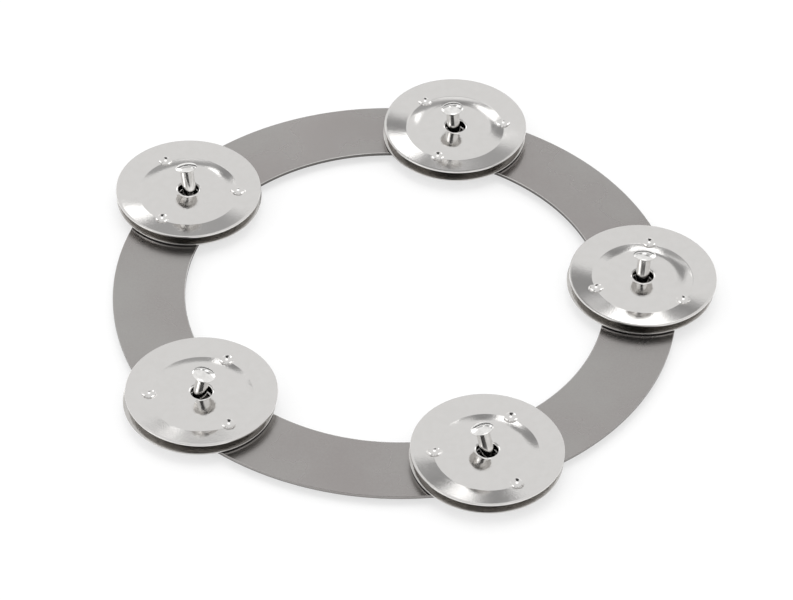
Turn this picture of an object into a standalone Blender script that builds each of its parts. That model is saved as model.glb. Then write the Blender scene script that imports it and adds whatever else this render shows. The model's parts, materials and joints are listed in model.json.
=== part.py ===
"""Ching ring: a flat steel ring that carries five pairs of jingles on loose rivets.

Metres, +Z up. The origin is the ring's centre at the level of the surface it stands on.
Station 1 lies on +X and the others follow anticlockwise.
"""
import math
from typing import NamedTuple

import bmesh
import bpy
from mathutils import Matrix, Vector

# Ring: flat annulus cut from sheet
RING_OUTER_D = 0.1524
RING_INNER_D = 0.1134
RING_THICKNESS = 0.0010
PITCH_OUTSET = 0.0006
RING_EDGE_BREAK = 0.00012
RING_HOLE_CLEARANCE = 0.00025
RING_HOLE_BREAK = 0.00015

# Jingle: raised flat centre, a smooth fall to a round valley and a sloping flange, in one sheet
JINGLE_D = 0.0403
JINGLE_SHEET = 0.00045
JINGLE_SIDE_PLAY = 0.00058
CENTRE_D = 0.0176
CENTRE_RISE = 0.00065
VALLEY_D = 0.0274
RIM_RISE = 0.00115
HOLE_LIP_ROUND = 0.00015
RIM_ROUND = 0.00009
FALL_STEPS = 4

# Three round dents in the valley
DENT_COUNT = 3
DENT_D = 0.0028
DENT_DEPTH = 0.00028

# Rivet: crowned head, plain shank, rolled tail with the bore of a tubular end
SHANK_D = 0.00365
HEAD_D = 0.0061
HEAD_EDGE = 0.00028
HEAD_EDGE_BREAK = 0.00010
HEAD_CROWN = 0.00062
TAIL_D = 0.0054
TAIL_ROLL = 0.00070
TAIL_BORE_D = 0.0016
TAIL_BORE_DEPTH = 0.0019
TAIL_BORE_TIP = 0.00032
TAIL_BORE_FLARE = 0.00021
HEAD_PLAY = 0.00625

# Room between faces that rest on each other
SEAT_GAP = 0.0003

RING_SIDES = 60
JINGLE_SIDES = 28
RIVET_SIDES = 14
DENT_SIDES = 9


class Seat(NamedTuple):
    """How a jingle lies: its turn, and the share of its side play and the way it has shifted."""

    turn_deg: float
    share: float
    way_deg: float


class Station(NamedTuple):
    """One rivet's lean from upright, the way it leans, and its two jingles' seats."""

    lean_deg: float
    way_deg: float
    upper: Seat
    lower: Seat


STATIONS = (
    Station(12.0, 76.0, Seat(76.5, 1.00, -87.0), Seat(20.0, 0.57, 175.0)),
    Station(6.2, 140.0, Seat(4.7, 0.91, -29.0), Seat(65.0, 0.31, -68.0)),
    Station(17.5, 112.5, Seat(-3.4, 1.00, -112.0), Seat(100.0, 0.72, 134.0)),
    Station(10.2, 7.0, Seat(59.6, 0.74, -15.0), Seat(35.0, 0.55, -47.0)),
    Station(17.5, 138.0, Seat(59.1, 1.00, -84.0), Seat(85.0, 0.99, 177.0)),
)

# Sizes that follow from the ones above
STEEPEST_LEAN = math.radians(max(station.lean_deg for station in STATIONS))
PITCH_RADIUS = (RING_OUTER_D + RING_INNER_D) / 4 + PITCH_OUTSET
SHANK_R = SHANK_D / 2
SLANTED_SHANK_R = SHANK_R / math.cos(STEEPEST_LEAN)
RING_HOLE_R = SLANTED_SHANK_R + RING_THICKNESS / 2 * math.tan(STEEPEST_LEAN) + RING_HOLE_CLEARANCE
JINGLE_HEIGHT = RIM_RISE + JINGLE_SHEET
JINGLE_HOLE_TIGHT_R = SLANTED_SHANK_R + JINGLE_SHEET / 2 * math.tan(STEEPEST_LEAN) + SEAT_GAP
JINGLE_HOLE_R = JINGLE_HOLE_TIGHT_R + JINGLE_SIDE_PLAY

# Heights above the middle of the ring's sheet, where the rivets rock
LOWER_RIM_Z = RING_THICKNESS / 2 + SEAT_GAP
LOWER_VALLEY_Z = LOWER_RIM_Z + JINGLE_HEIGHT
UPPER_VALLEY_Z = LOWER_VALLEY_Z + SEAT_GAP
HEAD_Z = UPPER_VALLEY_Z + CENTRE_RISE + JINGLE_SHEET + HEAD_PLAY

# The steepest rivet's tail roll clears the ring's underside and touches the surface below
ROLL_R = TAIL_ROLL / 2
ROLL_CIRCLE_R = TAIL_D / 2 - ROLL_R
ROLL_SWING = ROLL_CIRCLE_R * math.sin(STEEPEST_LEAN)
ROLL_DROP = RING_THICKNESS / 2 + SEAT_GAP + ROLL_R + 2 * ROLL_SWING
RING_MIDDLE_Z = ROLL_DROP + ROLL_R

# Along the shank, from the middle of the ring's sheet to the middle of the tail's roll
TAIL_REACH = (ROLL_DROP - ROLL_SWING) / math.cos(STEEPEST_LEAN)


def clear_scene():
    """Remove every object that the scene holds."""
    for item in list(bpy.data.objects):
        bpy.data.objects.remove(item, do_unlink=True)


def steel(name, colour, roughness):
    """A metal finish with its own colour and roughness."""
    finish = bpy.data.materials.new(name)
    finish.use_nodes = True
    shader = finish.node_tree.nodes["Principled BSDF"]
    shader.inputs["Base Color"].default_value = (*colour, 1.0)
    shader.inputs["Metallic"].default_value = 1.0
    shader.inputs["Roughness"].default_value = roughness
    finish.diffuse_color = (*colour, 1.0)
    return finish


def arc(centre, radius, start_deg, end_deg, steps):
    """Points on an arc in the half plane of a turned profile, ends included."""
    points = []
    for step in range(steps + 1):
        angle = math.radians(start_deg + (end_deg - start_deg) * step / steps)
        points.append((centre[0] + radius * math.cos(angle), centre[1] + radius * math.sin(angle)))
    return points


def turned_mesh(name, outline, sides, sharp_deg=40.0):
    """Spin an outline of (radius, height) points once about Z into a closed mesh."""
    model = bmesh.new()
    corners = [model.verts.new((radius, 0.0, height)) for radius, height in outline]
    closed = outline[0][0] > 0.0 or outline[-1][0] > 0.0
    pairs = list(zip(corners, corners[1:]))
    if closed:
        pairs.append((corners[-1], corners[0]))
    edges = [model.edges.new(pair) for pair in pairs]
    bmesh.ops.spin(
        model,
        geom=corners + edges,
        cent=(0.0, 0.0, 0.0),
        axis=(0.0, 0.0, 1.0),
        angle=math.tau,
        steps=sides,
        use_merge=True,
    )
    bmesh.ops.remove_doubles(model, verts=model.verts, dist=1e-7)
    bmesh.ops.recalc_face_normals(model, faces=model.faces)
    mesh = bpy.data.meshes.new(name)
    model.to_mesh(mesh)
    model.free()
    mesh.shade_smooth()
    mesh.set_sharp_from_angle(angle=math.radians(sharp_deg))
    return mesh


def add_object(name, mesh, finish=None, parent=None, place=None):
    """Link a mesh as a named object, placed under its parent by a matrix."""
    item = bpy.data.objects.new(name, mesh)
    bpy.context.scene.collection.objects.link(item)
    if finish is not None and not mesh.materials:
        mesh.materials.append(finish)
    if parent is not None:
        item.parent = parent
    if place is not None:
        item.matrix_local = place
    return item


def boolean(target, cutter, operation):
    """Cut or join one object with another by an exact Boolean."""
    modifier = target.modifiers.new(operation.title(), "BOOLEAN")
    modifier.operation = operation
    modifier.solver = "EXACT"
    modifier.object = cutter
    cutter.hide_render = True
    cutter.display_type = "WIRE"


def station_angle(index):
    """The angle of a station from +X, with the stations evenly spaced."""
    return math.tau * index / len(STATIONS)


def lean_turn(station):
    """The rotation that leans an upright rivet its own way."""
    way = math.radians(station.way_deg)
    hinge_line = Vector((-math.sin(way), math.cos(way), 0.0))
    return Matrix.Rotation(math.radians(station.lean_deg), 4, hinge_line)


def shank_axis_at(station, height):
    """Where the leaning shank's axis passes a height above the ring's middle."""
    reach = height * math.tan(math.radians(station.lean_deg))
    way = math.radians(station.way_deg)
    return Vector((reach * math.cos(way), reach * math.sin(way), 0.0))


def ring_outline():
    """Section of the flat ring, with a small break on its four edges."""
    inner, outer = RING_INNER_D / 2, RING_OUTER_D / 2
    top, edge = RING_THICKNESS / 2, RING_EDGE_BREAK
    return [
        (inner + edge, top),
        (outer - edge, top),
        (outer, top - edge),
        (outer, edge - top),
        (outer - edge, -top),
        (inner + edge, -top),
        (inner, edge - top),
        (inner, top - edge),
    ]


def ring_hole_outline():
    """Cutter for a rivet's hole, flared at both faces of the ring."""
    top, flare = RING_THICKNESS / 2, RING_HOLE_BREAK
    mouth_r, mouth_z = RING_HOLE_R + 2 * flare, top + flare
    return [
        (0.0, mouth_z),
        (mouth_r, mouth_z),
        (RING_HOLE_R, top - flare),
        (RING_HOLE_R, flare - top),
        (mouth_r, -mouth_z),
        (0.0, -mouth_z),
    ]


def build_ring(finish, middle):
    """The flat ring with one hole under each rivet."""
    ring = add_object("ring", turned_mesh("ring", ring_outline(), RING_SIDES), finish, middle)
    hole_mesh = turned_mesh("ring_hole", ring_hole_outline(), RIVET_SIDES)
    for index in range(len(STATIONS)):
        turn = Matrix.Rotation(station_angle(index), 4, "Z")
        place = turn @ Matrix.Translation((PITCH_RADIUS, 0.0, 0.0))
        cutter = add_object(f"ring_hole_{index + 1}", hole_mesh, None, middle, place)
        boolean(ring, cutter, "DIFFERENCE")
    return ring


def offset_line(line, distance):
    """Offset an open line of (radius, height) points to its left, with mitred corners."""
    normals = []
    for (r0, z0), (r1, z1) in zip(line, line[1:]):
        length = math.hypot(r1 - r0, z1 - z0)
        normals.append(((z0 - z1) / length, (r1 - r0) / length))
    moved = []
    for index, (radius, height) in enumerate(line):
        before = normals[max(0, index - 1)]
        after = normals[min(index, len(normals) - 1)]
        scale = distance / (1.0 + before[0] * after[0] + before[1] * after[1])
        moved.append((radius + scale * (before[0] + after[0]), height + scale * (before[1] + after[1])))
    return moved


def jingle_outline():
    """Section of a jingle's sheet, dish side up, with its valley's outer face at zero height."""
    half, rim = JINGLE_SHEET / 2, JINGLE_D / 2
    centre, valley = CENTRE_D / 2, VALLEY_D / 2
    lip = min(HOLE_LIP_ROUND, 0.9 * half)
    turned_edge = min(RIM_ROUND, 0.9 * half)
    middle = [(JINGLE_HOLE_R, half + CENTRE_RISE)]
    for step in range(FALL_STEPS + 1):
        share = step / FALL_STEPS
        height = CENTRE_RISE * (1.0 + math.cos(math.pi * share)) / 2
        middle.append((centre + (valley - centre) * share, half + height))
    slope = RIM_RISE / (rim - valley)
    middle.append((rim - turned_edge, half + RIM_RISE - turned_edge * slope))
    above = offset_line(middle, half)
    below = offset_line(middle, -half)
    return [
        (JINGLE_HOLE_R, half + CENTRE_RISE),
        (JINGLE_HOLE_R + lip, above[0][1]),
        *above[1:],
        (rim, half + RIM_RISE),
        *below[:0:-1],
        (JINGLE_HOLE_R + lip, below[0][1]),
    ]


def dent_punch():
    """Round-nosed cutter that leaves a dent of the named width and depth in the valley."""
    nose_r = (DENT_D ** 2 / 4 + DENT_DEPTH ** 2) / (2 * DENT_DEPTH)
    nose_z = JINGLE_SHEET - DENT_DEPTH + nose_r
    nose = arc((0.0, nose_z), nose_r, -90.0, -45.0, 3)
    return turned_mesh("dent_punch", [*nose, (0.0, nose[-1][1])], DENT_SIDES)


def jingle_mesh():
    """One pressed jingle: turned sheet with its round dents, shared by all jingles."""
    blank_mesh = turned_mesh("jingle_blank", jingle_outline(), JINGLE_SIDES, 25.0)
    blank = add_object("jingle_blank", blank_mesh)
    punch_mesh = dent_punch()
    punches = []
    for index in range(DENT_COUNT):
        turn = Matrix.Rotation(math.tau * (index + 0.5) / DENT_COUNT, 4, "Z")
        place = turn @ Matrix.Translation((VALLEY_D / 2, 0.0, 0.0))
        punch = add_object(f"dent_punch_{index + 1}", punch_mesh, None, None, place)
        boolean(blank, punch, "DIFFERENCE")
        punches.append(punch)
    bpy.context.view_layer.update()
    pressed = bpy.data.meshes.new_from_object(blank.evaluated_get(bpy.context.evaluated_depsgraph_get()))
    pressed.name = "jingle"
    for item in (blank, *punches):
        bpy.data.objects.remove(item, do_unlink=True)
    return pressed


def build_jingle(name, mesh, finish, middle, station, seat, valley_z, flipped):
    """A jingle round its rivet, dish side up, or dish side down when flipped."""
    hole_height = CENTRE_RISE + JINGLE_SHEET / 2
    centre = shank_axis_at(station, valley_z - hole_height if flipped else valley_z + hole_height)
    way = math.radians(seat.way_deg)
    shift = seat.share * JINGLE_SIDE_PLAY
    centre += Vector((shift * math.cos(way), shift * math.sin(way), valley_z))
    turn = Matrix.Rotation(math.radians(seat.turn_deg + 180.0 / DENT_COUNT), 4, "Z")
    if flipped:
        turn = turn @ Matrix.Rotation(math.pi, 4, "X")
    return add_object(name, mesh, finish, middle, Matrix.Translation(centre) @ turn)


def rivet_outline():
    """Section of an upright rivet about the middle of the ring's sheet."""
    edge = min(HEAD_EDGE_BREAK, 0.5 * HEAD_EDGE)
    head_r = HEAD_D / 2
    face_z = HEAD_Z + HEAD_EDGE
    crown_r = (head_r ** 2 + HEAD_CROWN ** 2) / (2 * HEAD_CROWN)
    crown_angle = math.degrees(math.asin((crown_r - HEAD_CROWN) / crown_r))
    crown = arc((0.0, face_z + HEAD_CROWN - crown_r), crown_r, crown_angle, 90.0, 4)
    roll = arc((ROLL_CIRCLE_R, 0.0), ROLL_R, -90.0, 90.0, 4)
    bore_r = TAIL_BORE_D / 2
    bore_top = TAIL_BORE_DEPTH - ROLL_R
    outline = [
        (0.0, bore_top),
        (bore_r, bore_top - TAIL_BORE_TIP),
        (bore_r, 0.0),
        (bore_r + TAIL_BORE_FLARE, -ROLL_R),
        *roll[:-1],
        (ROLL_CIRCLE_R, ROLL_R),
        (SHANK_R, ROLL_R),
    ]
    outline = [(radius, height - TAIL_REACH) for radius, height in outline]
    outline += [(SHANK_R, HEAD_Z), (head_r - edge, HEAD_Z), (head_r, HEAD_Z + edge)]
    return outline + [(head_r, face_z)] + crown[1:-1] + [(0.0, face_z + HEAD_CROWN)]


def rivet_drop(station):
    """How far a rivet slides down its own axis until its tail's roll meets the surface."""
    lean = math.radians(station.lean_deg)
    reach = (RING_MIDDLE_Z - ROLL_R - ROLL_CIRCLE_R * math.sin(lean)) / math.cos(lean)
    return reach - TAIL_REACH


def build_rivet(name, mesh, finish, middle, station):
    """A loose rivet that leans in its hole and stands on the edge of its tail."""
    slide = Matrix.Translation((0.0, 0.0, -rivet_drop(station)))
    return add_object(name, mesh, finish, middle, lean_turn(station) @ slide)


def build_station(index, station, meshes, finishes, ring_middle):
    """The rivet and the pair of jingles at one station."""
    angle = station_angle(index)
    spot = (PITCH_RADIUS * math.cos(angle), PITCH_RADIUS * math.sin(angle), 0.0)
    middle = bpy.data.objects.new(f"station_{index + 1}", None)
    bpy.context.scene.collection.objects.link(middle)
    middle.parent = ring_middle
    middle.location = spot
    tag = index + 1
    build_rivet(f"rivet_{tag}", meshes["rivet"], finishes["rivet"], middle, station)
    pair = (("lower", LOWER_VALLEY_Z, True), ("upper", UPPER_VALLEY_Z, False))
    for side, valley_z, flipped in pair:
        seat = getattr(station, side)
        name = f"{side}_jingle_{tag}"
        build_jingle(name, meshes["jingle"], finishes["jingle"], middle, station, seat, valley_z, flipped)


def build_ching_ring():
    """The whole instrument, standing on its rivets' tails at zero height."""
    finishes = {
        "ring": steel("ring_matt_steel", (0.42, 0.41, 0.40), 0.42),
        "jingle": steel("jingle_bright_nickel", (0.86, 0.85, 0.83), 0.07),
        "rivet": steel("rivet_bright_steel", (0.78, 0.77, 0.75), 0.12),
    }
    ring_middle = bpy.data.objects.new("ring_middle", None)
    bpy.context.scene.collection.objects.link(ring_middle)
    ring_middle.location = (0.0, 0.0, RING_MIDDLE_Z)
    meshes = {"jingle": jingle_mesh(), "rivet": turned_mesh("rivet", rivet_outline(), RIVET_SIDES)}
    build_ring(finishes["ring"], ring_middle)
    for index, station in enumerate(STATIONS):
        build_station(index, station, meshes, finishes, ring_middle)


clear_scene()
build_ching_ring()
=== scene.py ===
"""Looks of the ching ring: fine pressed jingles, turned rivets and a grained ring in a white studio."""

import json
import logging
import math
from dataclasses import dataclass, field
from enum import Enum

import bpy
from mathutils import Matrix, Vector


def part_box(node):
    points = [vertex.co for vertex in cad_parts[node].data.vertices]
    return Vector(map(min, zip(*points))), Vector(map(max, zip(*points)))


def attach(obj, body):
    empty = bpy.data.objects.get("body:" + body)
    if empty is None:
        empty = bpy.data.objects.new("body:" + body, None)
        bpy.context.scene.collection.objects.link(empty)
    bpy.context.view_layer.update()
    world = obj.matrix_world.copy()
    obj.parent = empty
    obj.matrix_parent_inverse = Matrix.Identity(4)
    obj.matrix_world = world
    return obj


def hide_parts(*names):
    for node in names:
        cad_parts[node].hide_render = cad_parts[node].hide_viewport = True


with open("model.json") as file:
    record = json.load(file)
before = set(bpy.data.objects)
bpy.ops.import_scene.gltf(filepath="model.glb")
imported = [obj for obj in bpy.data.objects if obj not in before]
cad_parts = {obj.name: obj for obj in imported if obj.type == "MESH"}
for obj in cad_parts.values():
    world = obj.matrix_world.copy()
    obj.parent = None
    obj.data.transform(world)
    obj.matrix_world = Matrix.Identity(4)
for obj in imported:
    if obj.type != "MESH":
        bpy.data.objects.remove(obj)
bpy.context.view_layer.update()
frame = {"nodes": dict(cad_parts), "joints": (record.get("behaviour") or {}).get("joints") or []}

LOG = logging.getLogger("ching_ring")
MM = 0.001
WELD_DISTANCE = 0.000001
RISE = (0.0, 1.0)
FALL = (1.0, 0.0)
HAZE_TONES = (0.35, 0.65)
HAZE_SHINE = (0.3, 0.7)
WHITE = (1.0, 1.0, 1.0, 1.0)

Span = tuple[float, float]
Place = tuple[float, float, float]
Colour = tuple[float, float, float]
Profile = list[tuple[float, float]]
Socket = bpy.types.NodeSocket


class DishSide(Enum):
    """Which way a jingle's dish opens, as a half turn about X."""

    UP = 0.0
    DOWN = math.pi


class Ends(Enum):
    """How the first and the last ring of a turned shape are finished."""

    OPEN = "both left open"
    JOINED = "the last joined to the first"
    POLE = "the last drawn together at the axis, and the first closed"
    CAPPED = "both closed"


class NoiseAxes(Enum):
    """Where a noise is read."""

    LINE = "1D"
    SPACE = "3D"


# ---------------------------------------------------------------- modelling


def choose(piece: bpy.types.Object) -> None:
    """Select one piece alone and make it the active one.

    Args:
        piece: The piece.
    """
    bpy.ops.object.select_all(action="DESELECT")
    piece.select_set(True)
    bpy.context.view_layer.objects.active = piece


def close_edit(weld: bool) -> None:
    """Turn all faces outward and leave edit mode.

    Args:
        weld: Whether points in the same place become one first.
    """
    bpy.ops.mesh.select_all(action="SELECT")
    if weld:
        bpy.ops.mesh.remove_doubles(threshold=WELD_DISTANCE)
    bpy.ops.mesh.normals_make_consistent(inside=False)
    bpy.ops.object.mode_set(mode="OBJECT")


def turn_shape(name: str, profile: Profile, sides: int, ends: Ends) -> bpy.types.Object:
    """Grow a turned shape from a circle, ring by ring.

    Args:
        name: Name of the new object.
        profile: Radius and height of each ring, in order.
        sides: Corners in each ring.
        ends: How the first and the last ring are finished.

    Returns:
        The new object, in object mode.
    """
    bpy.ops.object.select_all(action="DESELECT")
    radius, height = profile[0]
    bpy.ops.mesh.primitive_circle_add(vertices=sides, radius=radius, location=(0.0, 0.0, 0.0))
    piece = bpy.context.object
    piece.name = piece.data.name = name
    bpy.ops.object.mode_set(mode="EDIT")
    bpy.ops.mesh.select_all(action="SELECT")
    bpy.ops.transform.translate(value=(0.0, 0.0, height))
    for next_radius, next_height in profile[1:]:
        rise = (0.0, 0.0, next_height - height)
        bpy.ops.mesh.extrude_region_move(TRANSFORM_OT_translate={"value": rise})
        stretch, centre = next_radius / radius, (0.0, 0.0, next_height)
        bpy.ops.transform.resize(value=(stretch, stretch, 1.0), center_override=centre)
        radius, height = next_radius, next_height
    if ends is Ends.POLE:
        bpy.ops.mesh.merge(type="CENTER")
    if ends in (Ends.POLE, Ends.CAPPED):
        bpy.ops.mesh.select_all(action="DESELECT")
        bpy.ops.mesh.select_mode(type="VERT")
        bpy.ops.mesh.select_non_manifold()
        bpy.ops.mesh.edge_face_add()
    close_edit(weld=ends is Ends.JOINED)
    return piece


def round_corner(centre: Span, radius: float, sweep: Span, steps: int) -> Profile:
    """Points on a rounded corner of a profile.

    Args:
        centre: Radius and height of the corner's centre.
        radius: The corner's own radius.
        sweep: Angles of its first and last point in degrees, from the outward direction.
        steps: Pieces in the corner.

    Returns:
        The points, ends included.
    """
    start, end = sweep
    angles = [math.radians(start + (end - start) * step / steps) for step in range(steps + 1)]
    return [(centre[0] + radius * math.cos(a), centre[1] + radius * math.sin(a)) for a in angles]


def settle(piece: bpy.types.Object, place: Matrix) -> None:
    """Put a piece in its place and leave the place in its mesh.

    Args:
        piece: The piece, modelled round the origin.
        place: Where it goes in the row frame.
    """
    piece.matrix_world = place
    choose(piece)
    bpy.ops.object.transform_apply(location=True, rotation=True, scale=True)


def apply_all_modifiers(piece: bpy.types.Object) -> None:
    """Apply a piece's modifiers in their order.

    Args:
        piece: The piece.
    """
    choose(piece)
    for modifier in list(piece.modifiers):
        bpy.ops.object.modifier_apply(modifier=modifier.name)


def smooth_piece(piece: bpy.types.Object, angle: float) -> None:
    """Shade a piece smooth, but for edges that bend more than an angle in degrees."""
    choose(piece)
    bpy.ops.object.shade_smooth_by_angle(angle=math.radians(angle))


def mark_own_shape(piece: bpy.types.Object) -> None:
    """Keep each point's place before the piece is settled, so that turned marks follow the piece.

    Args:
        piece: The piece, modelled round the origin.
    """
    marks = piece.data.attributes.new("own_shape", "FLOAT_VECTOR", "POINT")
    for point, mark in zip(piece.data.vertices, marks.data):
        mark.vector = point.co


def own_copy(master: bpy.types.Object, name: str) -> bpy.types.Object:
    """Copy a master shape, mesh and all.

    Args:
        master: The shape.
        name: Name of the copy and of its mesh.

    Returns:
        The copy.
    """
    copy = master.copy()
    copy.data = master.data.copy()
    copy.name = copy.data.name = name
    bpy.context.scene.collection.objects.link(copy)
    return copy


def spin_joints() -> dict[str, dict]:
    """The rivets' joints, by the body that each one turns."""
    return {joint["child"]: joint for joint in frame["joints"] if joint["name"].endswith("_spin")}


# ---------------------------------------------------------------- node trees


@dataclass(frozen=True)
class Noise:
    """Cloudy noise: features in a metre, octaves, and where it is read."""

    scale: float
    detail: float
    axes: NoiseAxes = NoiseAxes.SPACE


@dataclass(frozen=True)
class Relief:
    """A fine relief: its full height in metres, and the share of it that shows."""

    depth: float
    strength: float


class NodeBench:
    """A node tree, laid out node by node."""

    def __init__(self, tree: bpy.types.NodeTree) -> None:
        """Start work on a tree."""
        self.tree = tree

    def node(self, kind: str, **settings: object) -> bpy.types.Node:
        """Add a node and set its plain properties.

        Args:
            kind: The node's type.
            settings: Property names and values.

        Returns:
            The new node.
        """
        node = self.tree.nodes.new(kind)
        for key, value in settings.items():
            setattr(node, key, value)
        return node

    def link(self, source: Socket, target: Socket) -> None:
        """Join one socket to another."""
        self.tree.links.new(source, target)

    def axis(self, name: str, at: Socket) -> Socket:
        """Read one coordinate of a place.

        Args:
            name: X, Y or Z.
            at: The place.

        Returns:
            The coordinate.
        """
        node = self.node("ShaderNodeSeparateXYZ")
        self.link(at, node.inputs["Vector"])
        return node.outputs[name]

    def span(self, value: Socket, source: Span, target: Span) -> Socket:
        """Map a value from one span to another, smoothly and clamped.

        Args:
            value: What is mapped.
            source: Start and end of its span.
            target: The results there.

        Returns:
            The mapped value.
        """
        node = self.node("ShaderNodeMapRange", interpolation_type="SMOOTHSTEP")
        names = ("From Min", "From Max", "To Min", "To Max")
        for name, number in zip(names, (*source, *target)):
            node.inputs[name].default_value = number
        self.link(value, node.inputs["Value"])
        return node.outputs["Result"]

    def combine(self, operation: str, first: Socket, second: Socket | float) -> Socket:
        """Work out one sum on two values.

        Args:
            operation: The sum, as the math node names it.
            first: The first value.
            second: The second one, or a plain number.

        Returns:
            The result.
        """
        node = self.node("ShaderNodeMath", operation=operation)
        self.link(first, node.inputs[0])
        if isinstance(second, float):
            node.inputs[1].default_value = second
        else:
            self.link(second, node.inputs[1])
        return node.outputs["Value"]

    def glow(self, level: float) -> Socket:
        """Add a white glow.

        Args:
            level: Its strength.

        Returns:
            The glow's shader.
        """
        node = self.node("ShaderNodeEmission")
        node.inputs["Strength"].default_value = level
        return node.outputs["Emission"]

    def mix(self, share: Socket, first: Socket, second: Socket) -> Socket:
        """Mix two shaders.

        Args:
            share: How much of the second one there is.
            first: The first shader.
            second: The second one.

        Returns:
            The mixed shader.
        """
        node = self.node("ShaderNodeMixShader")
        self.link(share, node.inputs["Fac"])
        self.link(first, node.inputs[1])
        self.link(second, node.inputs[2])
        return node.outputs["Shader"]


class MetalBench(NodeBench):
    """The node tree of a metal finish."""

    def __init__(self, name: str) -> None:
        """Start a material with a bare metallic shader.

        Args:
            name: The material's name.
        """
        self.material = bpy.data.materials.new(name)
        self.material.use_nodes = True
        super().__init__(self.material.node_tree)
        self.shader = self.tree.nodes["Principled BSDF"]
        self.shader.inputs["Metallic"].default_value = 1.0
        self.place = self.node("ShaderNodeTexCoord").outputs["Object"]

    def own_shape(self) -> Socket:
        """The piece's place in its own turned shape."""
        return self.node("ShaderNodeAttribute", attribute_name="own_shape").outputs["Vector"]

    def noise(self, look: Noise, at: Socket | None = None) -> Socket:
        """Add a noise.

        Args:
            look: Its scale, octaves and axes.
            at: Where it is read, or the piece's place.

        Returns:
            The noise, about 0.5.
        """
        node = self.node("ShaderNodeTexNoise", noise_dimensions=look.axes.value)
        node.inputs["Scale"].default_value = look.scale
        node.inputs["Detail"].default_value = look.detail
        read_at = node.inputs["W" if look.axes is NoiseAxes.LINE else "Vector"]
        self.link(self.place if at is None else at, read_at)
        return node.outputs["Fac"]

    def stretched(self, at: Socket, scale: Place, turn: float = 0.0) -> Socket:
        """Stretch a place.

        Args:
            at: The place.
            scale: Share along each axis.
            turn: Turn about Z in degrees.

        Returns:
            The new place.
        """
        node = self.node("ShaderNodeMapping")
        node.inputs["Scale"].default_value = scale
        node.inputs["Rotation"].default_value = (0.0, 0.0, math.radians(turn))
        self.link(at, node.inputs["Vector"])
        return node.outputs["Vector"]

    def radius(self, at: Socket) -> Socket:
        """Measure the distance from the Z axis.

        Args:
            at: The place.

        Returns:
            The distance.
        """
        node = self.node("ShaderNodeVectorMath", operation="LENGTH")
        self.link(self.stretched(at, (1.0, 1.0, 0.0)), node.inputs[0])
        return node.outputs["Value"]

    def blend(self, share: Socket, first: Colour | Socket, second: Colour) -> Socket:
        """Mix two colours.

        Args:
            share: How much of the second one there is.
            first: The first colour, plain or from a node.
            second: The second one.

        Returns:
            The mixed colour.
        """
        node = self.node("ShaderNodeMix", data_type="RGBA")
        if isinstance(first, tuple):
            node.inputs["A"].default_value = (*first, 1.0)
        else:
            self.link(first, node.inputs["A"])
        node.inputs["B"].default_value = (*second, 1.0)
        self.link(share, node.inputs["Factor"])
        return node.outputs["Result"]

    def relief(self, height: Socket, look: Relief, under: Socket | None = None) -> Socket:
        """Raise a fine relief.

        Args:
            height: The relief, from 0 to 1.
            look: Its depth and strength.
            under: A relief that it lies on.

        Returns:
            The bent normal.
        """
        node = self.node("ShaderNodeBump")
        node.inputs["Distance"].default_value = look.depth
        node.inputs["Strength"].default_value = look.strength
        self.link(height, node.inputs["Height"])
        if under is not None:
            self.link(under, node.inputs["Normal"])
        return node.outputs["Normal"]

    def finish(self, colour: Socket, roughness: Socket, normal: Socket) -> bpy.types.Material:
        """Wire the shader up.

        Args:
            colour: The metal's colour.
            roughness: Its roughness.
            normal: Its bent normal.

        Returns:
            The material.
        """
        self.link(colour, self.shader.inputs["Base Color"])
        self.link(roughness, self.shader.inputs["Roughness"])
        self.link(normal, self.shader.inputs["Normal"])
        return self.material


# ---------------------------------------------------------------- finishes


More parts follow.
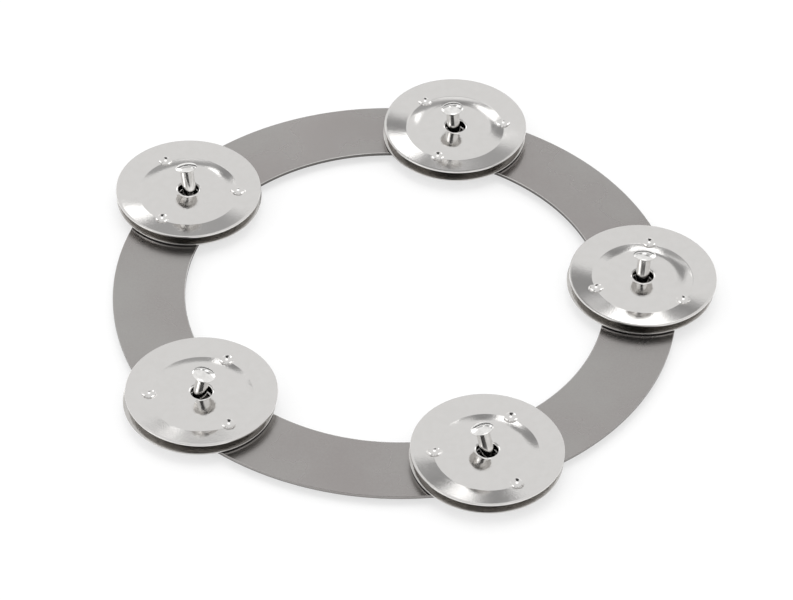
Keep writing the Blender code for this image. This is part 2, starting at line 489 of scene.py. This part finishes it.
@dataclass(frozen=True)
class MattSteel:
    """The ring's grey blasted sheet, with a painted highlight along its inner corner and painted shade
    on its walls.

    The grain is fine and even, with faint clouds over it that lean to green and to purple. The corner's
    painted highlight is broken up by the flecks, and the corner is a little less rough. Where the
    painted highlight and the painted wall shade start and end is given in shares of the corner's
    rounding.
    """

    pale: Colour = (0.381, 0.372, 0.361)
    dark: Colour = (0.336, 0.315, 0.308)
    # painted highlight: a lighter colour along the inner corner, standing in for light caught by its
    # rounding
    painted_corner_highlight: Colour = (0.56, 0.55, 0.54)
    # painted shade colour of the walls
    painted_wall_shade: Colour = (0.13, 0.125, 0.12)
    clouds: Noise = Noise(32.0, 4.0)
    cloud_share: float = 0.72
    flecks: Noise = Noise(2100.0, 2.0)
    fleck_share: float = 0.28
    tones: Span = (0.30, 0.70)
    grain: Noise = Noise(4200.0, 3.0)
    grain_relief: Relief = Relief(0.00001, 0.4)
    corner_highlight_start: Span = (0.15, 0.5)
    corner_highlight_end: Span = (0.8, 1.3)
    corner_highlight_fleck_span: Span = (0.3, 0.6)
    corner_highlight_fleck_shares: Span = (0.6, 1.0)
    corner_polish: float = 0.12
    # the painted wall shade: where it ends on the inner wall, where it starts on the outer wall, and
    # the height over which it fades at the foot
    inner_wall_shade_end: Span = (0.1, 0.3)
    outer_wall_shade_start: float = 0.5
    foot_shade_height: float = 0.00045
    foot_shade_shares: Span = (1.0, 0.25)
    roughness: Span = (0.25, 0.31)

    def material(self, inner: float, outer: float, low: float, rounds: Span) -> bpy.types.Material:
        """Make the finish for a ring.

        Args:
            inner: Radius of the ring's inner edge.
            outer: Radius of its outer edge.
            low: Height of its underside.
            rounds: Rounding of the inner and of the outer corners.

        Returns:
            The material.
        """
        inner_round, outer_round = rounds
        bench = MetalBench("ring_matt_steel_fine")
        clouds, flecks = bench.noise(self.clouds), bench.noise(self.flecks)
        tone = bench.combine("MULTIPLY", clouds, self.cloud_share)
        tone = bench.combine("ADD", tone, bench.combine("MULTIPLY", flecks, self.fleck_share))
        colour = bench.blend(bench.span(tone, self.tones, RISE), self.dark, self.pale)
        radius = bench.radius(bench.place)
        corner_highlight_start, corner_highlight_end, inner_wall_shade_end = (
            tuple(inner + share * inner_round for share in shares)
            for shares in (self.corner_highlight_start, self.corner_highlight_end, self.inner_wall_shade_end)
        )
        rising, falling = bench.span(radius, corner_highlight_start, RISE), bench.span(radius, corner_highlight_end, FALL)
        corner = bench.combine("MULTIPLY", rising, falling)
        corner_highlight_breakup = bench.span(flecks, self.corner_highlight_fleck_span, self.corner_highlight_fleck_shares)
        # Painted highlight along the inner corner, broken up by the flecks.
        colour = bench.blend(bench.combine("MULTIPLY", corner, corner_highlight_breakup), colour, self.painted_corner_highlight)
        # Painted shade: the inner wall, and the outer wall darkening towards its foot where it meets
        # the table.
        height = bench.axis("Z", bench.place)
        foot = bench.span(height, (low, low + self.foot_shade_height), self.foot_shade_shares)
        outer_wall_shade = bench.span(radius, (outer - self.outer_wall_shade_start * outer_round, outer), RISE)
        outer_wall_shade = bench.combine("MULTIPLY", outer_wall_shade, foot)
        wall = bench.combine("MAXIMUM", outer_wall_shade, bench.span(radius, inner_wall_shade_end, FALL))
        colour = bench.blend(wall, colour, self.painted_wall_shade)
        rough = bench.span(clouds, self.tones, self.roughness)
        rough = bench.combine("SUBTRACT", rough, bench.combine("MULTIPLY", corner, self.corner_polish))
        return bench.finish(colour, rough, bench.relief(bench.noise(self.grain), self.grain_relief))


@dataclass(frozen=True)
class BrightNickel:
    """Mirror nickel on the jingles' dish sides: fine grain, polishing lines and a soft sheet wave."""

    name: str = "jingle_bright_nickel_fine"
    bright: Colour = (0.666, 0.654, 0.641)
    dull: Colour = (0.654, 0.642, 0.628)
    lines: Noise = Noise(3600.0, 2.0, NoiseAxes.LINE)
    line_relief: Relief = Relief(0.0000008, 0.6)
    grain: Noise = Noise(3000.0, 2.0)
    grain_relief: Relief = Relief(0.000018, 0.6)
    wave: Noise = Noise(95.0, 2.0)
    wave_relief: Relief = Relief(0.00003, 0.5)
    haze: Noise = Noise(420.0, 5.0)
    scratches: Noise = Noise(900.0, 2.0)
    scratch_stretch: Place = (0.05, 1.0, 1.0)
    scratch_turn: float = 33.0
    scratch_edge: Span = (0.71, 0.75)
    scratch_roughness: float = 0.05
    roughness: float = 0.07
    roughness_spread: float = 0.012

    def material(self) -> bpy.types.Material:
        """Make the finish of one side of all jingles.

        Returns:
            The material.
        """
        bench = MetalBench(self.name)
        lines = bench.noise(self.lines, bench.radius(bench.own_shape()))
        haze = bench.noise(self.haze)
        along = bench.stretched(bench.place, self.scratch_stretch, self.scratch_turn)
        scratch = bench.span(bench.noise(self.scratches, along), self.scratch_edge, RISE)
        colour = bench.blend(bench.span(haze, HAZE_TONES, RISE), self.dull, self.bright)
        spread = self.roughness_spread
        rough = bench.span(haze, HAZE_SHINE, (self.roughness + spread, self.roughness - spread))
        scuffed = bench.combine("MULTIPLY", scratch, self.scratch_roughness)
        rough = bench.combine("ADD", rough, scuffed)
        normal = bench.relief(bench.noise(self.wave), self.wave_relief)
        normal = bench.relief(bench.noise(self.grain), self.grain_relief, normal)
        normal = bench.relief(lines, self.line_relief, normal)
        return bench.finish(colour, rough, normal)


@dataclass(frozen=True)
class DullNickelGapShade(BrightNickel):
    """The same plate on the jingles' backs, as it comes from the press, less polished, and darker as
    painted shade for the gap between the paired jingles.
    """

    name: str = "jingle_back_nickel_gap_shade"
    # darker colours: painted shade in the gap between the paired jingles
    bright: Colour = (0.55, 0.538, 0.522)
    dull: Colour = (0.51, 0.496, 0.48)
    line_relief: Relief = Relief(0.0000014, 0.6)
    wave_relief: Relief = Relief(0.00004, 0.5)
    roughness: float = 0.15
    roughness_spread: float = 0.03


@dataclass(frozen=True)
class RivetSteel:
    """Plated rivet steel, with drawn marks along the shank and a light haze."""

    bright: Colour = (0.84, 0.83, 0.815)
    dull: Colour = (0.74, 0.73, 0.715)
    drawn: Noise = Noise(2600.0, 3.0)
    drawn_stretch: Place = (1.0, 1.0, 0.04)
    drawn_relief: Relief = Relief(0.000003, 0.6)
    haze: Noise = Noise(600.0, 4.0)
    roughness: Span = (0.16, 0.09)

    def material(self) -> bpy.types.Material:
        """Make the finish of all rivets.

        Returns:
            The material.
        """
        bench = MetalBench("rivet_bright_steel_fine")
        drawn = bench.noise(self.drawn, bench.stretched(bench.own_shape(), self.drawn_stretch))
        haze = bench.noise(self.haze)
        colour = bench.blend(bench.span(haze, HAZE_TONES, RISE), self.dull, self.bright)
        rough = bench.span(haze, HAZE_SHINE, self.roughness)
        return bench.finish(colour, rough, bench.relief(drawn, self.drawn_relief))


# ---------------------------------------------------------------- pieces


@dataclass
class Ring:
    """The flat ring with its five holes, sized by its solid."""

    sides: int = 288
    corner_steps: int = 4
    inner_round: float = 0.00024
    outer_round: float = 0.00014
    hole_sides: int = 48
    hole_radius: float = 0.0023
    hole_flare: float = 0.00016
    smooth_angle: float = 35.0
    finish: MattSteel = field(default_factory=MattSteel)
    bottom: float = field(init=False)
    top: float = field(init=False)
    inner: float = field(init=False)
    outer: float = field(init=False)
    holes: list[Vector] = field(init=False)

    def __post_init__(self) -> None:
        """Read the ring's edges and the middles of its holes."""
        low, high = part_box("ring")
        self.bottom, self.top = low.z, high.z
        points = [point.co for point in frame["nodes"]["ring"].data.vertices]
        self.inner = min(math.hypot(point.x, point.y) for point in points)
        self.outer = min(high.x, high.y)
        middle = (self.top + self.bottom) / 2
        self.holes = [Vector((*joint["pos_m"][:2], middle)) for joint in spin_joints().values()]

    def section(self) -> Profile:
        """Draw the sheet's section.

        Returns:
            The section, its four edges rounded, closed on itself.
        """
        near, far, steps = self.inner_round, self.outer_round, self.corner_steps
        in_r, out_r = self.inner + near, self.outer - far
        corners = [
            *round_corner((out_r, self.top - far), far, (90.0, 0.0), steps),
            *round_corner((out_r, self.bottom + far), far, (0.0, -90.0), steps),
            *round_corner((in_r, self.bottom + near), near, (-90.0, -180.0), steps),
            *round_corner((in_r, self.top - near), near, (180.0, 90.0), steps),
        ]
        return [*corners, corners[0]]

    def hole_section(self) -> Profile:
        """Draw the cutter of a rivet's hole.

        Returns:
            The section, flared at both faces of the sheet.
        """
        half, radius, flare = (self.top - self.bottom) / 2, self.hole_radius, self.hole_flare
        mouth = radius + 2 * flare
        upper = [(mouth, half + flare), (radius, half - flare)]
        return [*upper, (radius, flare - half), (mouth, -half - flare)]

    def cut_holes(self, ring: bpy.types.Object) -> None:
        """Cut the rivets' holes.

        Args:
            ring: The sheet without holes.
        """
        cutters = []
        for number, hole in enumerate(self.holes, 1):
            name = f"hole_cutter_{number}"
            cutter = turn_shape(name, self.hole_section(), self.hole_sides, Ends.CAPPED)
            settle(cutter, Matrix.Translation(hole))
            cut = ring.modifiers.new(f"hole_{number}", "BOOLEAN")
            cut.operation, cut.solver, cut.object = "DIFFERENCE", "EXACT", cutter
            cutters.append(cutter)
        apply_all_modifiers(ring)
        for cutter in cutters:
            bpy.data.objects.remove(cutter, do_unlink=True)

    def build(self) -> bpy.types.Object:
        """Model the ring, keep the shading of its faces flat, and dress it.

        Returns:
            The finished ring.
        """
        ring = turn_shape("ring_sheet", self.section(), self.sides, Ends.JOINED)
        self.cut_holes(ring)
        smooth_piece(ring, self.smooth_angle)
        flat = ring.modifiers.new("flat_faces", "WEIGHTED_NORMAL")
        flat.keep_sharp = True
        apply_all_modifiers(ring)
        rounds = (self.inner_round, self.outer_round)
        finish = self.finish.material(self.inner, self.outer, self.bottom, rounds)
        ring.data.materials.append(finish)
        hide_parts("ring")
        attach(ring, "ring")
        return ring


@dataclass
class JingleShape:
    """The pressed form that all ten jingles share, dish side up.

    The steps are those across the lip, the raised centre, the fall to the valley, the valley's middle
    band, which holds the dents, and the flange.
    """

    rim_radius: float
    sides: int = 288
    steps: tuple[int, ...] = (6, 3, 6, 22, 6)
    sheet: float = 0.00045
    hole_radius: float = 0.002865
    lip_rise: float = 0.00026
    lip_width: float = 0.00060
    centre_radius: float = 0.0088
    centre_rise: float = 0.00065
    valley_radius: float = 0.0137
    valley_round: float = 0.00020
    valley_band: float = 0.0020
    rim_rise: float = 0.00113
    rim_round: float = 0.00010
    rim_segments: int = 3
    rim_angle: float = 50.0
    smooth_angle: float = 40.0
    dent_count: int = 3
    dent_width: float = 0.0032
    dent_depth: float = 0.00056
    dent_soft: float = 0.000008
    dent_back: float = 0.35
    dent_cuts: int = 2
    dent_cut_share: float = 0.75
    nose_share: float = 0.99
    soft_limit: float = 30.0
    back_slope: float = -0.5
    finish: BrightNickel = field(default_factory=BrightNickel)
    back_finish: DullNickelGapShade = field(default_factory=DullNickelGapShade)

    def sheet_height(self, radius: float) -> float:
        """Height of the sheet's middle above the valley's outer face.

        Args:
            radius: Distance from the jingle's axis.

        Returns:
            The height before the dents.
        """
        half, lip_end = self.sheet / 2, self.hole_radius + self.lip_width
        if radius < lip_end:
            share = (lip_end - radius) / self.lip_width
            return half + self.centre_rise + self.lip_rise * share * share
        if radius < self.centre_radius:
            return half + self.centre_rise
        if radius < self.valley_radius:
            share = (radius - self.centre_radius) / (self.valley_radius - self.centre_radius)
            return half + self.centre_rise * (1.0 - share * share * (3.0 - share) / 2)
        slope = self.rim_rise / (self.rim_radius - self.valley_radius)
        reach, ease = radius - self.valley_radius, self.valley_round
        if reach < ease:
            return half + slope * reach * reach / (2 * ease)
        return half + slope * (reach - ease / 2)

    def radii(self) -> list[float]:
        """Space the rings, close together at the lip, the dents and the rim.

        Returns:
            Their radii, from the hole to the rim.
        """
        lip_end = self.hole_radius + self.lip_width
        band = (self.valley_radius - self.valley_band, self.valley_radius + self.valley_band)
        ends = (lip_end, self.centre_radius, *band, self.rim_radius)
        radii = [self.hole_radius]
        for start, end, steps in zip((self.hole_radius, *ends), ends, self.steps):
            radii += [start + (end - start) * step / steps for step in range(1, steps + 1)]
        return radii

    def dent_spots(self) -> list[Vector]:
        """Middles of the dents, evenly spaced along the valley."""
        angles = [math.tau * index / self.dent_count for index in range(self.dent_count)]
        return [self.valley_radius * Vector((math.cos(angle), math.sin(angle))) for angle in angles]

    def divide_dent_faces(self, piece: bpy.types.Object) -> None:
        """Divide the faces round each dent, so that its edge comes out crisp.

        Args:
            piece: The jingle, before its dents.
        """
        choose(piece)
        bpy.ops.object.mode_set(mode="EDIT")
        bpy.ops.mesh.select_mode(type="FACE")
        bpy.ops.mesh.select_all(action="DESELECT")
        bpy.ops.object.mode_set(mode="OBJECT")
        spots, reach = self.dent_spots(), self.dent_cut_share * self.dent_width
        for face in piece.data.polygons:
            face.select = min((face.center.xy - spot).length for spot in spots) < reach
        bpy.ops.object.mode_set(mode="EDIT")
        bpy.ops.mesh.subdivide(number_cuts=self.dent_cuts)
        bpy.ops.object.mode_set(mode="OBJECT")

    def press_dents(self, piece: bpy.types.Object) -> None:
        """Press the round dents into the valley, full on the dish side and less on the back.

        Args:
            piece: The jingle.
        """
        nose = (self.dent_width ** 2 / 4 + self.dent_depth ** 2) / (2 * self.dent_depth)
        spots, soft = self.dent_spots(), self.dent_soft
        for point in piece.data.vertices:
            reach = min((point.co.xy - spot).length for spot in spots)
            if reach < self.nose_share * nose:
                middle = self.sheet_height(point.co.xy.length)
                bottom = self.sheet / 2 - self.dent_depth
                nose_z = bottom + nose - math.sqrt(nose * nose - reach * reach)
                gap = (middle - nose_z) / soft
                depth = soft * (math.log1p(math.exp(gap)) if gap < self.soft_limit else gap)
                point.co.z -= depth if point.co.z > middle else self.dent_back * depth

    def build(self) -> bpy.types.Object:
        """Model the jingle once, round the origin, its back faces in the second material slot.

        Returns:
            The master shape.
        """
        profile = [(radius, self.sheet_height(radius)) for radius in self.radii()]
        jingle = turn_shape("jingle_master", profile, self.sides, Ends.OPEN)
        wall = jingle.modifiers.new("wall", "SOLIDIFY")
        wall.thickness, wall.offset = self.sheet, 0.0
        apply_all_modifiers(jingle)
        self.divide_dent_faces(jingle)
        self.press_dents(jingle)
        turned = jingle.modifiers.new("turned_edges", "BEVEL")
        turned.width, turned.segments = self.rim_round, self.rim_segments
        turned.limit_method, turned.angle_limit = "ANGLE", math.radians(self.rim_angle)
        apply_all_modifiers(jingle)
        bpy.ops.object.mode_set(mode="EDIT")
        close_edit(weld=True)
        smooth_piece(jingle, self.smooth_angle)
        mark_own_shape(jingle)
        jingle.data.materials.append(self.finish.material())
        jingle.data.materials.append(self.back_finish.material())
        for face in jingle.data.polygons:
            face.material_index = 1 if face.normal.z < self.back_slope else 0
        return jingle


@dataclass(frozen=True)
class JingleSeat:
    """One jingle of a pair: its name's start, which way its dish opens, and its dents' turn from +X."""

    side: str
    dish: DishSide
    dents: float


@dataclass(frozen=True)
class JinglePair:
    """The lower and the upper jingle of a station, with their dents' turns in degrees."""

    station: int
    lower_dents: float
    upper_dents: float

    def seats(self) -> tuple[JingleSeat, JingleSeat]:
        """Both jingles, the lower one first."""
        lower = JingleSeat("lower", DishSide.DOWN, self.lower_dents)
        return lower, JingleSeat("upper", DishSide.UP, self.upper_dents)

    def settle_jingle(self, master: bpy.types.Object, seat: JingleSeat) -> bpy.types.Object:
        """Copy the master to one seat.

        Args:
            master: The shape round the origin.
            seat: Which jingle of the pair it becomes.

        Returns:
            The jingle, riding on its body.
        """
        node = f"{seat.side}_jingle_{self.station}"
        low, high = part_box(node)
        middle = (low + high) / 2
        middle.z = high.z if seat.dish is DishSide.DOWN else low.z
        turn = Matrix.Rotation(math.radians(seat.dents), 4, "Z")
        flip = Matrix.Rotation(seat.dish.value, 4, "X")
        jingle = own_copy(master, f"{seat.side}_pressed_jingle_{self.station}")
        settle(jingle, Matrix.Translation(middle) @ turn @ flip)
        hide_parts(node)
        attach(jingle, node)
        return jingle


@dataclass
class JingleSet:
    """All pairs of jingles. The play keeps their rims just inside their solids."""

    pairs: tuple[JinglePair, ...] = (
        JinglePair(1, 20.0, 76.5),
        JinglePair(2, 65.0, 4.7),
        JinglePair(3, 100.0, -3.4),
        JinglePair(4, 35.0, 59.6),
        JinglePair(5, 85.0, 59.1),
    )
    play: float = 0.00002

    def rim_radius(self) -> float:
        """Find the largest radius that stays inside every jingle's solid.

        Returns:
            The radius, less the play.
        """
        sizes = []
        for pair in self.pairs:
            for seat in pair.seats():
                low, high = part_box(f"{seat.side}_jingle_{pair.station}")
                sizes += [(high.x - low.x) / 2, (high.y - low.y) / 2]
        return min(sizes) - self.play

    def build(self) -> list[bpy.types.Object]:
        """Model one jingle, and copy it to each seat.

        Returns:
            The ten jingles.
        """
        master = JingleShape(self.rim_radius()).build()
        jingles = [pair.settle_jingle(master, seat) for pair in self.pairs for seat in pair.seats()]
        bpy.data.objects.remove(master, do_unlink=True)
        return jingles


@dataclass
class Rivet:
    """The tubular rivet that all stations share.

    The bore's flares lie outward from the bore, with heights in shares of the tail's roll. The roll
    starts inward from its middle and up, in the same shares. The shank's foot lies outward from the
    shank and up from the roll. The play keeps both ends just inside the solid.
    """

    sides: int = 96
    smooth_angle: float = 40.0
    shank_radius: float = 0.001825
    shank_foot: tuple[Span, ...] = ((0.00012, 0.00003), (0.0, 0.00016))
    head_radius: float = 0.00303
    head_edge: float = 0.00030
    head_edge_round: float = 0.00012
    head_edge_rest: float = 0.00006
    head_edge_steps: int = 3
    head_crown: float = 0.00062
    crown_start: float = 1.5
    crown_end: float = 88.5
    crown_steps: int = 9
    neck_round: float = 0.00022
    neck_steps: int = 4
    tail_radius: float = 0.00268
    roll_radius: float = 0.00034
    roll_start: Span = (0.35, 0.06)
    roll_steps: int = 10
    bore_radius: float = 0.0008
    bore_depth: float = 0.0019
    bore_lip: float = 0.0002
    bore_flares: tuple[Span, ...] = ((0.00008, 1.0), (0.00025, 0.45))
    play: float = 0.00001
    finish: RivetSteel = field(default_factory=RivetSteel)

    def tail(self) -> Profile:
        """Draw the tail.

        Returns:
            Its section, from the bore's end round the roll to the shank, standing at zero height.
        """
        roll = self.roll_radius
        roll_centre = self.tail_radius - roll
        inward, up = self.roll_start
        return [
            (self.bore_radius, self.bore_depth),
            (self.bore_radius, roll + self.bore_lip),
            *((self.bore_radius + out, share * roll) for out, share in self.bore_flares),
            (roll_centre - inward * roll, up * roll),
            *round_corner((roll_centre, roll), roll, (-90.0, 90.0), self.roll_steps),
            *((self.shank_radius + out, 2 * roll + rise) for out, rise in self.shank_foot),
        ]

    def head(self, length: float) -> Profile:
        """Draw the head.

        Args:
            length: From the tail's lowest point to the crown.

        Returns:
            Its section, from the neck round the edge and over the crown.
        """
        neck, edge = self.neck_round, self.head_edge_round
        under = length - self.head_crown - self.head_edge
        crown = (self.head_radius ** 2 + self.head_crown ** 2) / (2 * self.head_crown)
        edge_angle = math.degrees(math.asin((crown - self.head_crown) / crown))
        crown_sweep = (edge_angle + self.crown_start, self.crown_end)
        neck_centre = (self.shank_radius + neck, under - neck)
        edge_centre = (self.head_radius - edge, under + edge)
        return [
            *round_corner(neck_centre, neck, (180.0, 90.0), self.neck_steps),
            *round_corner(edge_centre, edge, (-90.0, 0.0), self.head_edge_steps),
            (self.head_radius, under + self.head_edge - self.head_edge_rest),
            *round_corner((0.0, length - crown), crown, crown_sweep, self.crown_steps),
        ]

    def build(self) -> list[bpy.types.Object]:
        """Model each station's rivet along its own leaning axis.

        Returns:
            The five rivets.
        """
        finish = self.finish.material()
        rivets = []
        for node, joint in spin_joints().items():
            pivot, axis = Vector(joint["pos_m"]), Vector(joint["axis"])
            reaches = [(point.co - pivot).dot(axis) for point in frame["nodes"][node].data.vertices]
            foot, crown = min(reaches) + self.play, max(reaches) - self.play
            length = crown - foot
            profile = [*self.tail(), (self.shank_radius, length / 2), *self.head(length)]
            rivet = turn_shape(f"tubular_{node}", profile, self.sides, Ends.POLE)
            smooth_piece(rivet, self.smooth_angle)
            mark_own_shape(rivet)
            rivet.data.materials.append(finish)
            upright = Vector((0.0, 0.0, 1.0)).rotation_difference(axis).to_matrix().to_4x4()
            settle(rivet, Matrix.Translation(pivot + foot * axis) @ upright)
            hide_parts(node)
            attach(rivet, node)
            rivets.append(rivet)
        return rivets


# ---------------------------------------------------------------- studio


@dataclass(frozen=True)
class Card:
    """An upright studio card that only reflections see.

    Its place and the width of its soft edges are in degrees as seen from the ring: azimuth clockwise
    from the side beyond the ring in the photograph, and elevation above the table. Its distance is in
    metres.
    """

    name: str
    azimuths: Span
    elevations: Span
    level: float
    soft: float
    distance: float

    def surface(self) -> bpy.types.Material:
        """Make the card's glow.

        Returns:
            A material that fades out at the card's edges.
        """
        surface = bpy.data.materials.new(self.name)
        surface.use_nodes = True
        bench = NodeBench(surface.node_tree)
        spread = bench.node("ShaderNodeTexCoord").outputs["UV"]
        share = None
        for axis, (start, end) in (("X", self.azimuths), ("Y", self.elevations)):
            place, soft = bench.axis(axis, spread), self.soft / (end - start)
            for edge, inside in ((0.0, soft), (1.0, 1.0 - soft)):
                fade = bench.span(place, (edge, inside), RISE)
                share = fade if share is None else bench.combine("MULTIPLY", share, fade)
        clear = bench.node("ShaderNodeBsdfTransparent").outputs["BSDF"]
        output = bench.tree.nodes["Material Output"].inputs["Surface"]
        bench.link(bench.mix(share, clear, bench.glow(self.level)), output)
        return surface

    def build(self, around: Matrix) -> None:
        """Stand the card up, facing the ring.

        Args:
            around: The turn from the photograph's directions to the row frame's.
        """
        bpy.ops.mesh.primitive_plane_add(size=1.0, location=(0.0, 0.0, 0.0))
        card = bpy.context.object
        card.name = card.data.name = self.name
        left, right = (math.radians(angle) for angle in self.azimuths)
        low, high = (self.distance * math.tan(math.radians(angle)) for angle in self.elevations)
        width = 2 * self.distance * math.tan((right - left) / 2)
        stretch = Matrix.Diagonal((width, high - low, 1.0, 1.0))
        upright = Matrix.Rotation(math.radians(90.0), 4, "X")
        stand = Matrix.Translation((0.0, self.distance, (low + high) / 2))
        aside = Matrix.Rotation(-(left + right) / 2, 4, "Z")
        settle(card, around @ aside @ stand @ upright @ stretch)
        card.data.materials.append(self.surface())
        card.visible_camera = card.visible_diffuse = card.visible_shadow = False


@dataclass(frozen=True)
class Lamp:
    """A square softbox that looks at the ring: its side in metres, its power in watts."""

    name: str
    place: Place
    size: float
    energy: float
    mirrored: bool

    def build(self) -> None:
        """Hang the lamp up, and hide it from bright metal unless it is mirrored."""
        light = bpy.data.lights.new(self.name, "AREA")
        light.energy, light.size = self.energy, self.size
        lamp = bpy.data.objects.new(self.name, light)
        bpy.context.scene.collection.objects.link(lamp)
        lamp.location = self.place
        lamp.rotation_euler = Vector(self.place).to_track_quat("Z", "Y").to_euler()
        lamp.visible_glossy = self.mirrored


@dataclass(frozen=True)
class PhotoCamera:
    """The photograph's camera, fitted to the ring's edges.

    Its stand is in mm from the ring's middle, turned by the azimuth, and its angles are in degrees.
    """

    azimuth: float = -4.668
    elevation: float = 43.567
    roll: float = 1.685
    stand: Place = (0.47, -741.96, 703.68)
    stand_lift: float = 2.413
    focal_pixels: float = 3777.3
    image_width: int = 793
    sensor: float = 36.0
    clip: Span = (0.05, 20.0)

    def build(self) -> None:
        """Set the camera up and look through it."""
        around = Matrix.Rotation(math.radians(self.azimuth), 3, "Z")
        pitch, roll = math.radians(self.elevation), math.radians(self.roll)
        ahead = Vector((0.0, math.cos(pitch), -math.sin(pitch)))
        above = Vector((0.0, math.sin(pitch), math.cos(pitch)))
        right = math.cos(roll) * Vector((1.0, 0.0, 0.0)) + math.sin(roll) * above
        up = math.cos(roll) * above - math.sin(roll) * Vector((1.0, 0.0, 0.0))
        axes = Matrix((around @ right, around @ up, around @ -ahead)).transposed()
        data = bpy.data.cameras.new("photo_camera")
        data.sensor_fit, data.sensor_width = "HORIZONTAL", self.sensor
        data.lens = self.focal_pixels * self.sensor / self.image_width
        data.clip_start, data.clip_end = self.clip
        camera = bpy.data.objects.new("photo_camera", data)
        bpy.context.scene.collection.objects.link(camera)
        stand = around @ Vector(self.stand) + Vector((0.0, 0.0, self.stand_lift))
        camera.matrix_world = Matrix.Translation(stand * MM) @ axes.to_4x4()
        bpy.context.scene.camera = camera


@dataclass
class Studio:
    """A white table, a white surround, soft lamps, cards and the photograph's camera.

    The surround's changes lie at the sines of the elevations where they start and end.
    """

    floor_size: float = 6.0
    floor_white: float = 0.92
    floor_roughness: float = 0.9
    floor_lift: float = 0.62
    surround_level: float = 0.97
    low_level: float = 1.20
    low_edge: Span = (0.30, 0.36)
    top_lift: float = 0.80
    top_edge: Span = (0.95, 0.985)
    camera: PhotoCamera = field(default_factory=PhotoCamera)
    lamps: tuple[Lamp, ...] = (
        Lamp("top_softbox", (0.0, 0.08, 1.5), 0.80, 4.4, False),
        Lamp("side_softbox", (-1.3, -0.5, 0.9), 0.6, 2.2, True),
    )
    cards: tuple[Card, ...] = (
        Card("grey_wall", (-60.0, 60.0), (18.0, 29.5), 0.48, 3.0, 0.575),
        Card("far_softbox", (7.2, 16.8), (21.6, 31.8), 2.0, 0.9, 0.563),
        Card("wall_middle", (-1.8, 6.6), (22.0, 33.5), 0.36, 2.2, 0.57),
        Card("dark_base", (-30.0, 30.0), (1.0, 15.0), 0.12, 1.5, 0.60),
        Card("dark_panel", (15.4, 28.5), (27.8, 41.2), 0.38, 2.6, 0.590),
        Card("dark_flag", (11.0, 17.6), (30.6, 39.2), 0.36, 1.8, 0.585),
        Card("bounce_card", (-9.8, -5.2), (25.0, 32.0), 2.1, 0.9, 0.30),
        Card("right_softbox", (29.0, 50.0), (10.0, 33.0), 2.2, 1.5, 0.55),
        Card("left_softbox", (-50.0, -29.0), (10.0, 33.0), 2.2, 1.5, 0.55),
        Card("camera_stand", (152.0, 218.0), (8.0, 74.0), 0.08, 8.0, 1.2),
    )

    def floor(self) -> None:
        """Lay a pale table that keeps a soft shadow, lifted for the camera alone."""
        bpy.ops.mesh.primitive_plane_add(size=self.floor_size, location=(0.0, 0.0, 0.0))
        table = bpy.context.object
        table.name = table.data.name = "pale_table"
        surface = bpy.data.materials.new("pale_table")
        surface.use_nodes = True
        bench = NodeBench(surface.node_tree)
        matt = bench.tree.nodes["Principled BSDF"]
        matt.inputs["Base Color"].default_value = (*[self.floor_white] * 3, 1.0)
        matt.inputs["Roughness"].default_value = self.floor_roughness
        matt.inputs["Specular IOR Level"].default_value = 0.0
        seen = bench.node("ShaderNodeLightPath").outputs["Is Camera Ray"]
        share = bench.combine("MULTIPLY", seen, self.floor_lift)
        lifted = bench.mix(share, matt.outputs["BSDF"], bench.glow(1.0))
        bench.link(lifted, bench.tree.nodes["Material Output"].inputs["Surface"])
        table.data.materials.append(surface)

    def surround(self) -> None:
        """Put up a plain white surround for the camera, and one for the metal to mirror.

        The mirrored one is brighter near the horizon and overhead.
        """
        world = bpy.data.worlds.new("white_surround")
        bpy.context.scene.world = world
        world.use_nodes = True
        bench = NodeBench(world.node_tree)
        bench.tree.nodes.clear()
        height = bench.axis("Z", bench.node("ShaderNodeTexCoord").outputs["Generated"])
        low = bench.span(height, self.low_edge, (self.low_level, self.surround_level))
        top = bench.span(height, self.top_edge, (0.0, self.top_lift))
        mirrored, seen = bench.node("ShaderNodeBackground"), bench.node("ShaderNodeBackground")
        for background in (mirrored, seen):
            background.inputs["Color"].default_value = WHITE
        seen.inputs["Strength"].default_value = 1.0
        bench.link(bench.combine("ADD", low, top), mirrored.inputs["Strength"])
        by_camera = bench.node("ShaderNodeLightPath").outputs["Is Camera Ray"]
        both = bench.mix(by_camera, mirrored.outputs["Background"], seen.outputs["Background"])
        bench.link(both, bench.node("ShaderNodeOutputWorld").inputs["Surface"])

    def build(self) -> None:
        """Set up the whole studio."""
        bpy.context.scene.view_settings.view_transform = "Standard"
        self.floor()
        self.surround()
        around = Matrix.Rotation(math.radians(self.camera.azimuth), 4, "Z")
        for card in self.cards:
            card.build(around)
        for lamp in self.lamps:
            lamp.build()
        self.camera.build()


def main() -> None:
    """Build the pieces in order and set up the studio."""
    logging.basicConfig(level=logging.INFO, format="%(message)s")
    pieces = [Ring().build(), *Rivet().build(), *JingleSet().build()]
    for piece in pieces:
        LOG.info("%s: %d faces", piece.name, len(piece.data.polygons))
    Studio().build()


if __name__ == "__main__":
    main()
